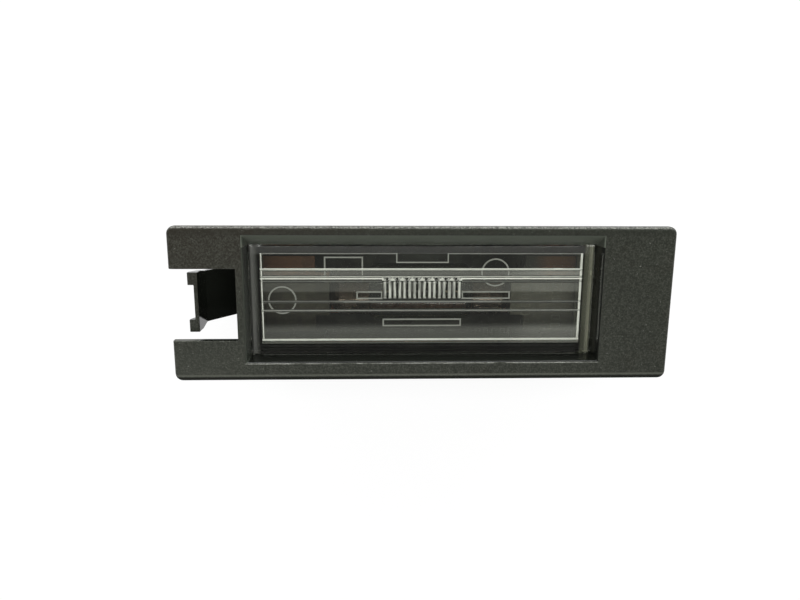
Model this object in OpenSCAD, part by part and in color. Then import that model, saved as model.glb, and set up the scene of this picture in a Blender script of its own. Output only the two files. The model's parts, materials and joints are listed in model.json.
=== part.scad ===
// Snap-in number plate lamp with a recessed clear lens, a tubular bulb and a
// rear bulb carrier that ends in a two-pin socket.
// +Z points out of the face, +X towards the socket end, +Y across the lamp.
// The origin is the centre of the back, in the plane that the lamp lies on.
// All sizes are in millimetres.

/* [Front frame] */
// Length of the front frame
frame_l = 85; // [84:0.5:96]
// Width of the front frame
frame_w = 26.5; // [25.5:0.5:32]
// Thickness of the front frame
frame_t = 1.5; // [1.4:0.1:2.5]
// Radius of the frame's corners, seen from the front
frame_corner_r = 1.3; // [0.8:0.1:3]
// Radius that rounds the frame's front edge
frame_edge_r = 0.65; // [0.3:0.05:0.7]
// Depth of the whole lamp from its face to its back
overall_d = 23; // [22.4:0.2:28]
// Width of the release notch in the left end
notch_w = 12.3; // [11.4:0.1:15]

/* [Housing] */
// Thickness of the housing's walls
body_wall = 1.45; // [1.2:0.05:1.8]
// Radius of the housing's upright corners
body_corner_r = 1.2; // [0.6:0.1:1.4]
// Thickness of the ledge that the lens sits on
ledge_t = 1.2; // [0.8:0.1:1.6]
// Thickness of the panel that the lamp snaps into
panel_t = 1; // [0.7:0.1:1.6]
// Reach of the fixed hook beyond the right wall
hook_reach = 2.6; // [1.5:0.1:3.5]
// Thickness of the fixed hook
hook_t = 1.2; // [0.8:0.1:2]
// Width of the fixed hook
hook_w = 9; // [5:0.5:14]

/* [Window] */
// How far the window's upper wall opens out towards the face
window_top_flare = 1.8; // [0.4:0.1:1.9]
// How far the other three walls open out towards the face
window_flare = 0.15; // [0:0.05:0.4]
// Width of the bevel around the window
window_bevel = 0.25; // [0.1:0.05:0.4]

/* [Catch arm] */
// Gap between the housing and the upright plate of the catch
catch_gap = 6.95; // [6:0.05:7.5]
// Thickness of the upright plate
catch_t = 0.7; // [0.6:0.05:1]
// Width of the catch at its tip
catch_w = 10.4; // [8.4:0.1:11]
// Width of the catch from its bend to its root
catch_root_w = 9.3; // [6:0.1:10]
// Depth of the bend below the face
catch_bend_d = 8; // [6.5:0.1:10]
// Height of the root's upper edge above the back
catch_root_z = 4.9; // [4.6:0.1:6.5]
// Upright thickness of the sloping part
catch_root_t = 1.5; // [1:0.1:1.7]
// Reach of the two tabs beyond the upright plate
tab_reach = 1; // [0.6:0.1:1.4]
// Width of each tab
tab_w = 2.2; // [1.4:0.1:3]
// Thickness of each tab at its end
tab_t = 0.6; // [0.4:0.1:1]
// Height of the ramp under each tab
tab_ramp_h = 2.4; // [1.4:0.1:3.4]

/* [Lens] */
// Length of the lens
lens_l = 59.9; // [58.5:0.1:60.5]
// Width of the lens
lens_w = 19.4; // [19:0.1:19.8]
// Thickness of the lens plate
lens_t = 2; // [1.6:0.1:2.4]
// Depth of the lens below the face
lens_recess = 4; // [3.4:0.1:4.2]
// Width of the rim under the lens
lens_rim_w = 1.6; // [1.2:0.1:2]
// Height of the rim under the lens
lens_rim_h = 2; // [1.4:0.1:2.2]
// Bevel around the front of the lens
lens_bevel = 0.3; // [0.1:0.05:0.5]

/* [Lens optics] */
// Number of flutes in the middle block
flute_n = 8; // [4:1:12]
// Distance from one flute to the next
flute_pitch = 1.75; // [1.4:0.05:1.9]
// Height of the flutes
flute_h = 0.6; // [0.3:0.05:0.7]
// Place of the flutes' upper ends across the lens
flute_top = 3.75; // [3.2:0.05:3.9]
// Place of the flutes' lower ends across the lens
flute_bottom = 0.2; // [-0.3:0.05:0.8]
// Width of the ridges along the lens
ridge_w = 0.4; // [0.25:0.05:0.5]
// Height of the ridges along the lens
ridge_h = 0.25; // [0.15:0.05:0.4]
// Distance from the flutes up to the long ridge above them
ridge_up = 1.45; // [1:0.05:2]
// Distance from the flutes down to the short ridges
ridge_short_down = 0.7; // [0.5:0.05:1]
// Distance from the flutes down to the long ridge below them
ridge_down = 2.3; // [1.8:0.05:3]

/* [Plain marks] */
// Height of the marks on the lens
mark_h = 0.15; // [0.1:0.05:0.3]
// Width of the lines that the marks are drawn with
mark_w = 0.25; // [0.15:0.05:0.35]
// Length of the tab on the upper rim
tab_mark_l = 9; // [6:0.5:12]
// Width of the tab on the upper rim
tab_mark_w = 1.6; // [1:0.1:2]
// Radius of the two rings
ring_r = 2.5; // [1.5:0.1:2.8]
// Distance of the right ring from the middle
ring_right_x = 12.9; // [11:0.1:20]
// Gap between the right ring and the upper rim
ring_right_gap = 0.9; // [0.4:0.1:2]
// Gap between the left ring and the left rim
ring_left_gap = 1.25; // [0.5:0.05:3]
// Distance from the flutes down to the middle of the left ring
ring_left_down = 0.4; // [0:0.1:1]
// Distance of the small frame on the left from the middle
small_frame_x = 10.4; // [9:0.1:14]
// Length of the small frame on the left
small_frame_l = 6.8; // [4:0.1:9]
// Gap between the small frame and the upper rim
small_frame_gap = 0.6; // [0.4:0.1:2]
// Distance from the flutes' upper ends down to the small frame
small_frame_down = 0.8; // [0.4:0.1:2]
// Distance from the flutes down to the long frame below them
slot_frame_down = 3.8; // [3:0.1:4.4]
// Width of the long frame below the flutes
slot_frame_w = 1.4; // [1:0.1:1.8]
// Length of the side frame to the left of the flutes
left_frame_l = 4.6; // [2:0.1:6]
// Length of the side frame to the right of the flutes
right_frame_l = 8.6; // [4:0.1:10]
// Width of the side frames beside the flutes
side_frame_w = 1.4; // [1:0.1:1.8]
// Distance from the flutes' lower ends down to the side frames
side_frame_down = 0.25; // [0:0.05:0.4]
// Distance from one bar to the next in the rows and columns of bars
bar_step = 1.5; // [1.2:0.1:1.8]
// Width of each bar
bar_w = 0.7; // [0.4:0.1:0.9]
// Length of each bar
bar_l = 1.5; // [1:0.1:1.8]
// Distance of the two rows of bars from the lower rim
bar_row_up = 2; // [1.2:0.1:3]
// Distance of the left row's first bar from the middle
bar_row_x = 17; // [16.5:0.1:19]
// Distance of the near column of bars from the right rim
near_column_in = 9.85; // [8:0.05:11]
// Distance of the near column's first bar from the lower rim
near_column_up = 4; // [3:0.1:5]
// Distance of the far column of bars from the right rim
far_column_in = 4.35; // [2:0.05:6]
// Distance of the far column's first bar from the lower rim
far_column_up = 3.2; // [2:0.1:5]

/* [Bulb carrier] */
// Thickness of the carrier's plate
carrier_t = 1.8; // [1.6:0.1:2]
// Height of the locating rim above the plate
carrier_rim_h = 2.2; // [1.2:0.1:3]
// Thickness of the locating rim and the snap tongues
carrier_rim_t = 1; // [0.8:0.05:1.2]
// Distance of the snap tongues from the middle
snap_x = 21; // [14:0.5:22]
// Width of the snap tongues
snap_w = 6; // [4:0.1:8]
// Height of the snap tongues above the plate
snap_h = 7; // [6:0.1:8]
// Reach of the snap noses into the housing's windows
snap_reach = 0.9; // [0.5:0.05:1]
// Height of the snap noses
snap_nose_h = 2; // [1.4:0.1:2.4]

/* [Socket] */
// Length of the socket
socket_l = 9.7; // [8.4:0.1:10.4]
// Width of the socket
socket_w = 12; // [11:0.1:14]
// Height of the socket
socket_h = 9; // [8.6:0.1:10]
// Thickness of the socket's walls
socket_wall = 1.4; // [1:0.1:1.5]
// Thickness of the wall that the blades come through
socket_back_t = 1.8; // [1.6:0.1:2.2]
// Height of the latch nose on the socket
socket_nose_h = 0.8; // [0.4:0.1:1.2]
// Distance between the middles of the two blades
pin_pitch = 5; // [4:0.1:5.4]
// Width of the blades
pin_w = 1.5; // [1:0.1:1.8]
// Distance of the blades' ends behind the socket's mouth
pin_setback = 2.6; // [2.2:0.1:3.4]

/* [Contacts] */
// Thickness of the spring contacts
contact_t = 0.5; // [0.3:0.05:0.6]
// Width of the contacts' upper part
contact_w = 14; // [10:0.5:15]
// Width of the contacts' foot
foot_w = 7; // [5.4:0.1:7.4]
// Distance of the contacts' outer legs from the middle
contact_outer_x = 28; // [27:0.1:28.2]
// Distance from the middle at which the contacts grow wide
contact_step_x = 19.2; // [18.6:0.1:21]
// Height of the contacts' wide part above the carrier
contact_step_h = 2.7; // [1.5:0.1:4]
// Height of the contacts above the bulb's axis
contact_top_h = 2.5; // [2.4:0.05:2.8]
// Radius of the holes that hold the bulb's caps
contact_hole_r = 2.2; // [1.8:0.05:3]
// Width of the tongues that hold the bulb
tongue_w = 8; // [6.6:0.1:9]
// Distance of the rivets from the middle
rivet_x = 24; // [23:0.1:25]
// Length of the contacts' foot beyond the rivets' heads
foot_beyond = 1; // [0.6:0.1:2]
// Radius of the rivets' shanks
rivet_r = 1; // [0.7:0.05:1.2]
// Radius of the rivets' heads
rivet_head_r = 1.8; // [1.5:0.05:2]
// Thickness of the rivets' heads
rivet_head_t = 0.6; // [0.4:0.05:0.7]
// Thickness of the bus bars and blades
bus_t = 0.6; // [0.4:0.05:0.8]
// Width of the bus bars
bus_w = 1.9; // [1.6:0.1:2]
// Distance of the long bus bar from the middle of the carrier
bus_y = 5; // [4.8:0.1:6]
// Width of the bus bars around the rivets, beyond the rivets' heads
pad_margin = 0.4; // [0.2:0.05:0.6]

/* [Bulb] */
// Depth of the bulb's axis below the face
bulb_d = 13; // [12.4:0.1:13.1]
// Length of the bulb over its caps
bulb_l = 36; // [34.5:0.1:36.4]
// Diameter of the glass
glass_dia = 10.5; // [9.6:0.1:11]
// Thickness of the glass
glass_t = 0.6; // [0.4:0.05:1]
// Length of the glass's straight part
glass_straight = 15; // [12:0.5:16]
// Diameter of the caps
cap_dia = 8.5; // [7.6:0.1:9]
// Thickness of the caps' metal
cap_t = 0.25; // [0.2:0.05:0.4]
// Length of the caps' straight part
cap_straight = 5.4; // [4.6:0.1:6]
// Length of the caps' cone
cap_cone = 2.8; // [2.2:0.1:3.2]
// Radius of the caps' flat end
cap_end_r = 1.1; // [0.8:0.05:1.4]
// Height of the solder dots
solder_h = 0.4; // [0.2:0.05:0.6]
// Length of the filament
filament_l = 9; // [6:0.5:12]
// Radius of the filament's coil
filament_r = 0.25; // [0.15:0.05:0.4]
// Radius of the lead wires
lead_r = 0.2; // [0.1:0.02:0.24]

/* [Clearances] */
// Gap around the lens in its pocket
lens_gap = 0.1; // [0.05:0.01:0.15]
// Thickness of the sealing bead under the lens
bead_t = 0.5; // [0.3:0.05:0.8]
// Thickness of the ring between carrier and housing
ring_t = 0.6; // [0.4:0.05:0.8]
// Gap between the carrier's rim and the housing
carrier_gap = 0.15; // [0.05:0.01:0.25]
// Gap between the housing and the socket
socket_gap = 0.3; // [0.2:0.05:0.5]
// Gap around the snap noses in their windows
snap_gap = 0.1; // [0.05:0.01:0.2]
// Gap around the rivets' shanks
rivet_gap = 0.05; // [0.02:0.01:0.1]
// Gap around the rivets' heads in the carrier
head_gap = 0.1; // [0.05:0.01:0.3]
// Gap between the bulb's cones and the contacts' holes
cone_gap = 0.05; // [0.02:0.01:0.1]
// Gap between the contact and the turn of the long bus bar
bus_turn_gap = 0.6; // [0.4:0.05:0.8]
// Gap between the glass neck and the caps, and around the lead wires
neck_gap = 0.1; // [0.04:0.01:0.15]

/* [Hidden] */

$fn = 48;
cut = 1; // how far a cut runs past the face that it opens

// Levels above the back
face_z = overall_d;
seat_z = face_z - frame_t;
lens_front_z = face_z - lens_recess;
lens_back_z = lens_front_z - lens_t;
rim_back_z = lens_back_z - lens_rim_h;
ledge_z = rim_back_z - bead_t;
ledge_back_z = ledge_z - ledge_t;
housing_back_z = carrier_t + ring_t;
catch_tip_z = seat_z - panel_t;

// Lens pocket and housing in plan
pocket_l = lens_l + 2 * lens_gap;
pocket_w = lens_w + 2 * lens_gap;
body_l = pocket_l + 2 * body_wall;
body_w = pocket_w + 2 * body_wall;
lens_open_l = lens_l - 2 * lens_rim_w;
lens_open_w = lens_w - 2 * lens_rim_w;

// Catch arm
catch_in_x = -(body_l / 2 + catch_gap);
catch_out_x = catch_in_x - catch_t;
catch_bend_z = face_z - catch_bend_d;
catch_slope = (catch_bend_z - catch_root_z) / catch_gap;
catch_low_z = catch_root_z - catch_root_t;

// Carrier, socket and blades
socket_x = body_l / 2 + socket_gap;
socket_end_x = socket_x + socket_l;
pin_z = (carrier_t + socket_h - socket_wall) / 2;
pin_up_x = socket_x + (socket_back_t - bus_t) / 2;
pin_end_x = socket_end_x - pin_setback;
bus_jog_x = contact_outer_x + contact_t + bus_turn_gap;
snap_nose_z = carrier_t + snap_h - snap_nose_h;
carrier_rim_l = pocket_l - 2 * carrier_gap;
carrier_rim_w = pocket_w - 2 * carrier_gap;

// Bulb and the contacts that hold it
bulb_z = face_z - bulb_d;
cap_r = cap_dia / 2;
cap_tip_x = bulb_l / 2 - solder_h;
cap_cone_x = cap_tip_x - cap_cone;
cap_start_x = cap_cone_x - cap_straight;
neck_r = cap_r - cap_t - neck_gap;
neck_end_x = cap_start_x + cap_straight / 2;
seal_t = 1.2; // thickness of the glass where the lead wires pass through it
shoulder = cap_start_x - glass_straight / 2; // from the straight glass to the neck
hold_r = contact_hole_r - cone_gap; // radius of the cone inside the contact's hole
tongue_x = cap_cone_x + cap_cone * (cap_r - hold_r) / (cap_r - cap_end_r);
contact_top_z = bulb_z + contact_top_h;
contact_wide_z = carrier_t + contact_step_h;
pad = rivet_head_r + pad_margin;

// Shared shapes

// Rectangle with round corners, centred
module rounded_rect(l, w, r) {
    square([l - 2 * r, w], center = true);
    square([l, w - 2 * r], center = true);
    for (x = [-1, 1], y = [-1, 1])
        translate([x * (l / 2 - r), y * (w / 2 - r)]) circle(r);
}

// Box given by its lowest and highest corners
module box(low, high) {
    translate(low) cube(high - low);
}

// Outline in X and Z, carried along Y and centred on it
module along_y(w, points) {
    translate([0, w / 2, 0]) rotate([90, 0, 0]) linear_extrude(w) polygon(points);
}

// Outline in Y and Z, carried along X and centred on it
module along_x(l, points) {
    rotate([90, 0, 90]) translate([0, 0, -l / 2]) linear_extrude(l) polygon(points);
}

// Outline in X and radius, turned about the X axis
module turned_on_x(points) {
    rotate([0, 90, 0]) rotate([0, 0, 90]) rotate_extrude() polygon([for (p = points) [p[1], p[0]]]);
}

// Shape drawn for the right end, mirrored when the end is the left one
module at_end(right) {
    mirror([right ? 0 : 1, 0, 0]) children();
}

// Front frame and housing

// Plate with round corners and a rounded front edge
module frame_plate() {
    flat_t = frame_t - frame_edge_r;
    inset = frame_corner_r - frame_edge_r;
    linear_extrude(flat_t) rounded_rect(frame_l, frame_w, frame_corner_r);
    linear_extrude(frame_t) square([frame_l - 2 * frame_corner_r, frame_w - 2 * frame_edge_r], center = true);
    linear_extrude(frame_t) square([frame_l - 2 * frame_edge_r, frame_w - 2 * frame_corner_r], center = true);
    intersection() {
        union() {
            for (side = [-1, 1]) {
                translate([0, side * (frame_w / 2 - frame_edge_r), flat_t]) rotate([0, 90, 0])
                    cylinder(h = frame_l - 2 * frame_corner_r, r = frame_edge_r, center = true);
                translate([side * (frame_l / 2 - frame_edge_r), 0, flat_t]) rotate([90, 0, 0])
                    cylinder(h = frame_w - 2 * frame_corner_r, r = frame_edge_r, center = true);
            }
        }
        linear_extrude(frame_t) square([frame_l, frame_w], center = true);
    }
    for (x = [-1, 1], y = [-1, 1])
        translate([x * (frame_l / 2 - frame_corner_r), y * (frame_w / 2 - frame_corner_r), flat_t])
            rotate_extrude() {
                square([inset, frame_edge_r]);
                intersection() {
                    translate([inset, 0]) circle(frame_edge_r);
                    translate([inset, 0]) square(frame_edge_r);
                }
            }
}

// Opening from the face down to the lens, with a sloping upper wall and a bevel
module window_cut() {
    top_y = pocket_w / 2 + window_top_flare;
    bottom_y = pocket_w / 2 + window_flare;
    side_x = pocket_l / 2 + window_flare;
    bevel_z = face_z - window_bevel;
    intersection() {
        along_x(2 * (side_x + window_bevel + cut), [
            [pocket_w / 2, lens_front_z], [top_y, bevel_z], [top_y + window_bevel, face_z],
            [top_y + window_bevel, face_z + cut], [-bottom_y - window_bevel, face_z + cut],
            [-bottom_y - window_bevel, face_z], [-bottom_y, bevel_z], [-pocket_w / 2, lens_front_z]
        ]);
        along_y(2 * (top_y + window_bevel + cut), [
            [pocket_l / 2, lens_front_z], [side_x, bevel_z], [side_x + window_bevel, face_z],
            [side_x + window_bevel, face_z + cut], [-side_x - window_bevel, face_z + cut],
            [-side_x - window_bevel, face_z], [-side_x, bevel_z], [-pocket_l / 2, lens_front_z]
        ]);
    }
}

// Wedge that keeps the wall's thickness behind the window's sloping side
module brow() {
    slope_out = window_top_flare * (seat_z - lens_front_z) / (lens_recess - window_bevel);
    along_x(body_l - 2 * body_corner_r, [
        [body_w / 2, lens_front_z - cut], [body_w / 2, lens_front_z], [body_w / 2 + slope_out, seat_z],
        [body_w / 2 - body_wall / 2, seat_z], [body_w / 2 - body_wall / 2, lens_front_z - cut]
    ]);
}

// Sprung arm that holds the lamp's left end, with two tabs behind the panel's edge
module catch_arm() {
    root_x = -(body_l / 2 - body_wall / 2);
    wall_x = -body_l / 2;
    outer_bend_z = catch_low_z + catch_slope * (catch_gap + catch_t);
    intersection() {
        along_y(catch_w, [
            [root_x, catch_root_z], [wall_x, catch_root_z], [catch_in_x, catch_bend_z],
            [catch_in_x, catch_tip_z], [catch_out_x, catch_tip_z], [catch_out_x, outer_bend_z],
            [wall_x, catch_low_z], [root_x, catch_low_z]
        ]);
        along_x(2 * (cut - catch_out_x), [
            [catch_w / 2, catch_tip_z], [catch_w / 2, catch_tip_z - tab_ramp_h],
            [catch_root_w / 2, catch_bend_z], [catch_root_w / 2, catch_low_z],
            [-catch_root_w / 2, catch_low_z], [-catch_root_w / 2, catch_bend_z],
            [-catch_w / 2, catch_tip_z - tab_ramp_h], [-catch_w / 2, catch_tip_z]
        ]);
    }
    for (side = [-1, 1])
        translate([0, side * (catch_w - tab_w) / 2, 0]) along_y(tab_w, [
            [catch_out_x + catch_t / 2, catch_tip_z], [catch_out_x - tab_reach, catch_tip_z],
            [catch_out_x - tab_reach, catch_tip_z - tab_t], [catch_out_x, catch_tip_z - tab_ramp_h],
            [catch_out_x + catch_t / 2, catch_tip_z - tab_ramp_h]
        ]);
}

// Fixed hook that goes behind the panel's edge at the right end
module hook() {
    wall_x = body_l / 2;
    top_z = seat_z - panel_t;
    along_y(hook_w, [
        [wall_x - body_wall / 2, top_z], [wall_x + hook_reach, top_z],
        [wall_x + hook_reach, top_z - hook_t / 2],
        [wall_x, top_z - hook_t - hook_reach], [wall_x - body_wall / 2, top_z - hook_t - hook_reach]
    ]);
}

module housing() {
    color([0.23, 0.23, 0.21]) union() {
        difference() {
            union() {
                translate([0, 0, seat_z]) frame_plate();
                translate([0, 0, housing_back_z]) linear_extrude(seat_z - housing_back_z + frame_t / 2)
                    rounded_rect(body_l, body_w, body_corner_r);
                brow();
                hook();
            }
            window_cut();
            box([-pocket_l / 2, -pocket_w / 2, ledge_z], [pocket_l / 2, pocket_w / 2, lens_front_z + 0.01]);
            box([-lens_open_l / 2, -lens_open_w / 2, ledge_back_z - cut],
                [lens_open_l / 2, lens_open_w / 2, ledge_z + cut]);
            box([-pocket_l / 2, -pocket_w / 2, housing_back_z - cut],
                [pocket_l / 2, pocket_w / 2, ledge_back_z]);
            box([-frame_l / 2 - cut, -notch_w / 2, seat_z - cut], [-body_l / 2, notch_w / 2, face_z + cut]);
            for (x = [-snap_x, snap_x])
                box([x - snap_w / 2 - snap_gap, -body_w / 2 - cut, snap_nose_z - snap_gap],
                    [x + snap_w / 2 + snap_gap, body_w / 2 + cut, snap_nose_z + snap_nose_h + snap_gap]);
        }
        catch_arm();
    }
}

// Lens

// Rib along X under the lens plate, triangular in section
module ridge(x0, x1, y, w = ridge_w, h = ridge_h) {
    translate([(x0 + x1) / 2, y, lens_back_z])
        along_x(x1 - x0, [[-w / 2, w / 4], [w / 2, w / 4], [w / 2, 0], [0, -h], [-w / 2, 0]]);
}

// Block of flutes side by side, with sloping ends
module flutes() {
    block_w = flute_n * flute_pitch;
    middle_y = (flute_top + flute_bottom) / 2;
    intersection() {
        union() {
            for (i = [0 : flute_n - 1])
                translate([(i - (flute_n - 1) / 2) * flute_pitch, middle_y, lens_back_z])
                    along_y(flute_top - flute_bottom, [
                        [-flute_pitch / 2, flute_h / 2], [flute_pitch / 2, flute_h / 2], [flute_pitch / 2, 0],
                        [flute_pitch / 8, -flute_h], [-flute_pitch / 8, -flute_h], [-flute_pitch / 2, 0]
                    ]);
        }
        translate([0, 0, lens_back_z]) along_x(block_w, [
            [flute_bottom, flute_h], [flute_top, flute_h], [flute_top, 0],
            [flute_top - flute_h, -flute_h], [flute_bottom + flute_h / 2, -flute_h], [flute_bottom, 0]
        ]);
    }
}

// Outline of a rectangle as a low mark under the lens plate
module mark_frame(x0, x1, y0, y1) {
    translate([0, 0, lens_back_z - mark_h]) linear_extrude(mark_h * 2) difference() {
        translate([x0, y0]) square([x1 - x0, y1 - y0]);
        translate([x0 + mark_w, y0 + mark_w]) square([x1 - x0 - 2 * mark_w, y1 - y0 - 2 * mark_w]);
    }
}

// Ring as a low mark under the lens plate
module mark_ring(x, y, r) {
    translate([x, y, lens_back_z - mark_h]) linear_extrude(mark_h * 2) difference() {
        circle(r);
        circle(r - mark_w);
    }
}

// Row of plain bars as low marks under the lens plate
module mark_bars(x, y, n, step, size) {
    for (i = [0 : n - 1])
        translate([x + i * step[0], y + i * step[1], lens_back_z])
            cube([size[0], size[1], 2 * mark_h], center = true);
}

module lens() {
    open_x = lens_open_l / 2;
    open_y = lens_open_w / 2;
    flute_x = flute_n * flute_pitch / 2;
    slot_y = flute_bottom - slot_frame_down;
    side_y = flute_bottom - side_frame_down;
    row_y = bar_row_up - open_y;
    color([0.82, 0.86, 0.8, 0.4]) union() {
        intersection() {
            translate([0, 0, rim_back_z]) linear_extrude(lens_front_z - rim_back_z)
                square([lens_l, lens_w], center = true);
            along_x(lens_l, [
                [lens_w / 2, rim_back_z], [lens_w / 2, lens_front_z - lens_bevel],
                [lens_w / 2 - lens_bevel, lens_front_z], [-lens_w / 2 + lens_bevel, lens_front_z],
                [-lens_w / 2, lens_front_z - lens_bevel], [-lens_w / 2, rim_back_z]
            ]);
            along_y(lens_w, [
                [lens_l / 2, rim_back_z], [lens_l / 2, lens_front_z - lens_bevel],
                [lens_l / 2 - lens_bevel, lens_front_z], [-lens_l / 2 + lens_bevel, lens_front_z],
                [-lens_l / 2, lens_front_z - lens_bevel], [-lens_l / 2, rim_back_z]
            ]);
            difference() {
                box([-lens_l / 2, -lens_w / 2, rim_back_z], [lens_l / 2, lens_w / 2, lens_front_z]);
                box([-open_x, -open_y, rim_back_z - cut], [open_x, open_y, lens_back_z]);
            }
        }
        flutes();
        ridge(-open_x, open_x, flute_top + ridge_up);
        ridge(-open_x, open_x, flute_top + ridge_w / 2);
        ridge(-open_x, -flute_x, flute_top - ridge_w * 1.5);
        ridge(flute_x, open_x, flute_top - ridge_w * 1.5);
        ridge(-open_x, -flute_x * 2, flute_bottom - ridge_short_down);
        ridge(flute_x * 2, open_x, flute_bottom - ridge_short_down);
        ridge(-open_x, open_x, flute_bottom - ridge_down);
        translate([0, open_y - tab_mark_w / 2, lens_back_z])
            cube([tab_mark_l, tab_mark_w, 2 * mark_h], center = true);
        mark_frame(-flute_x, flute_x, slot_y - slot_frame_w, slot_y);
        mark_frame(-small_frame_x - small_frame_l, -small_frame_x,
            flute_top - small_frame_down, open_y - small_frame_gap);
        mark_frame(-flute_x - left_frame_l, -flute_x, side_y, side_y + side_frame_w);
        mark_frame(flute_x, flute_x + right_frame_l, side_y, side_y + side_frame_w);
        mark_ring(ring_right_x, open_y - ring_r - ring_right_gap, ring_r);
        mark_ring(-open_x + ring_r + ring_left_gap, flute_bottom - ring_left_down, ring_r);
        mark_bars(-bar_row_x, row_y, 7, [bar_step, 0], [bar_w, bar_l]);
        mark_bars(flute_x + bar_step, row_y, 6, [bar_step, 0], [bar_w, bar_l]);
        mark_bars(open_x - near_column_in, near_column_up - open_y, 6, [0, bar_step], [bar_l, bar_w]);
        mark_bars(open_x - far_column_in, far_column_up - open_y, 8, [0, bar_step], [bar_l, bar_w]);
    }
}

module lens_seal() {
    color([0.13, 0.13, 0.12]) translate([0, 0, ledge_z]) linear_extrude(bead_t) difference() {
        square([lens_l, lens_w], center = true);
        square([lens_open_l, lens_open_w], center = true);
    }
}

// Bulb carrier and the ring under the housing

// Shank or hole of a rivet, or its lower head, at the right end
module rivet_column(r, z0, z1) {
    translate([rivet_x, 0, z0]) cylinder(h = z1 - z0, r = r);
}

// Tongue with a nose that snaps into the housing's window
module snap_tongue() {
    inner_y = carrier_rim_w / 2 - carrier_rim_t;
    outer_y = carrier_rim_w / 2;
    along_x(snap_w, [
        [inner_y, carrier_t - carrier_t / 4], [outer_y, carrier_t - carrier_t / 4], [outer_y, snap_nose_z],
        [outer_y + snap_reach, snap_nose_z], [outer_y + snap_reach, snap_nose_z + snap_nose_h / 4],
        [outer_y, snap_nose_z + snap_nose_h], [inner_y, snap_nose_z + snap_nose_h]
    ]);
}

// Shroud around the two blades, with a latch nose for the plug
module socket() {
    difference() {
        union() {
            box([socket_x, -socket_w / 2, 0], [socket_end_x, socket_w / 2, socket_h]);
            box([body_l / 2 - body_corner_r - cut, -socket_w / 2, 0],
                [socket_x + cut, socket_w / 2, carrier_t]);
            along_y(socket_w / 3, [
                [socket_x + socket_l * 0.35, socket_h - socket_wall / 2],
                [socket_x + socket_l * 0.35, socket_h + socket_nose_h],
                [socket_x + socket_l * 0.45, socket_h + socket_nose_h],
                [socket_end_x - socket_wall / 2, socket_h],
                [socket_end_x - socket_wall / 2, socket_h - socket_wall / 2]
            ]);
        }
        box([socket_x + socket_back_t, -socket_w / 2 + socket_wall, carrier_t],
            [socket_end_x + cut, socket_w / 2 - socket_wall, socket_h - socket_wall]);
    }
}

module bulb_carrier() {
    color([0.1, 0.1, 0.1]) difference() {
        union() {
            linear_extrude(carrier_t) rounded_rect(body_l, body_w, body_corner_r);
            translate([0, 0, carrier_t / 2]) linear_extrude(carrier_t / 2 + carrier_rim_h) difference() {
                square([carrier_rim_l, carrier_rim_w], center = true);
                square([carrier_rim_l - 2 * carrier_rim_t, carrier_rim_w - 2 * carrier_rim_t], center = true);
            }
            for (x = [-snap_x, snap_x]) {
                translate([x, 0, 0]) snap_tongue();
                translate([x, 0, 0]) mirror([0, 1, 0]) snap_tongue();
            }
            socket();
        }
        bus_bar_left();
        bus_bar_right();
        for (right = [false, true]) at_end(right) {
            rivet_column(rivet_r + rivet_gap, -cut, carrier_t + cut);
            rivet_column(rivet_head_r + head_gap, -cut, rivet_head_t + head_gap);
        }
    }
}

module carrier_seal() {
    color([0.16, 0.16, 0.16]) translate([0, 0, carrier_t]) linear_extrude(ring_t) difference() {
        rounded_rect(body_l, body_w, body_corner_r);
        square([pocket_l, pocket_w], center = true);
    }
}

// Contacts, bus bars and rivets

// Spring contact at the right end: foot, outer leg, wide top and hanging tongue
module contact() {
    leg_x = contact_outer_x;
    end_x = contact_outer_x + contact_t;
    foot_x = rivet_x - rivet_head_r - foot_beyond;
    difference() {
        union() {
            box([foot_x, -foot_w / 2, carrier_t], [end_x, foot_w / 2, carrier_t + contact_t]);
            box([leg_x, -foot_w / 2, carrier_t], [end_x, foot_w / 2, contact_top_z]);
            box([leg_x, -contact_w / 2, contact_wide_z], [end_x, contact_w / 2, contact_top_z]);
            box([contact_step_x, -contact_w / 2, contact_top_z - contact_t],
                [end_x, contact_w / 2, contact_top_z]);
            box([tongue_x, -tongue_w / 2, contact_top_z - contact_t],
                [contact_step_x + contact_t, tongue_w / 2, contact_top_z]);
            box([tongue_x, -tongue_w / 2, bulb_z], [tongue_x + contact_t, tongue_w / 2, contact_top_z]);
            translate([tongue_x, 0, bulb_z]) rotate([0, 90, 0]) cylinder(h = contact_t, r = tongue_w / 2);
        }
        box([tongue_x - cut, -tongue_w, contact_top_z], [leg_x, tongue_w, contact_top_z + tongue_w]);
        translate([tongue_x - cut, 0, bulb_z]) rotate([0, 90, 0])
            cylinder(h = contact_t + 2 * cut, r = contact_hole_r);
        rivet_column(rivet_r + rivet_gap, 0, contact_wide_z);
    }
}

module contact_left() {
    color([0.55, 0.38, 0.22]) at_end(false) contact();
}

module contact_right() {
    color([0.55, 0.38, 0.22]) at_end(true) contact();
}

// Strip from (x, y) corner to corner in the carrier's groove
module strip(x0, y0, x1, y1) {
    box([x0, y0, carrier_t - bus_t], [x1, y1, carrier_t]);
}

// Upright end and blade of a bus bar, inside the socket
module blade(y) {
    low_z = carrier_t - bus_t;
    box([pin_up_x, y - pin_w / 2, low_z], [pin_up_x + bus_t, y + pin_w / 2, pin_z + bus_t / 2]);
    box([pin_up_x, y - pin_w / 2, pin_z - bus_t / 2], [pin_end_x, y + pin_w / 2, pin_z + bus_t / 2]);
}

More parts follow.
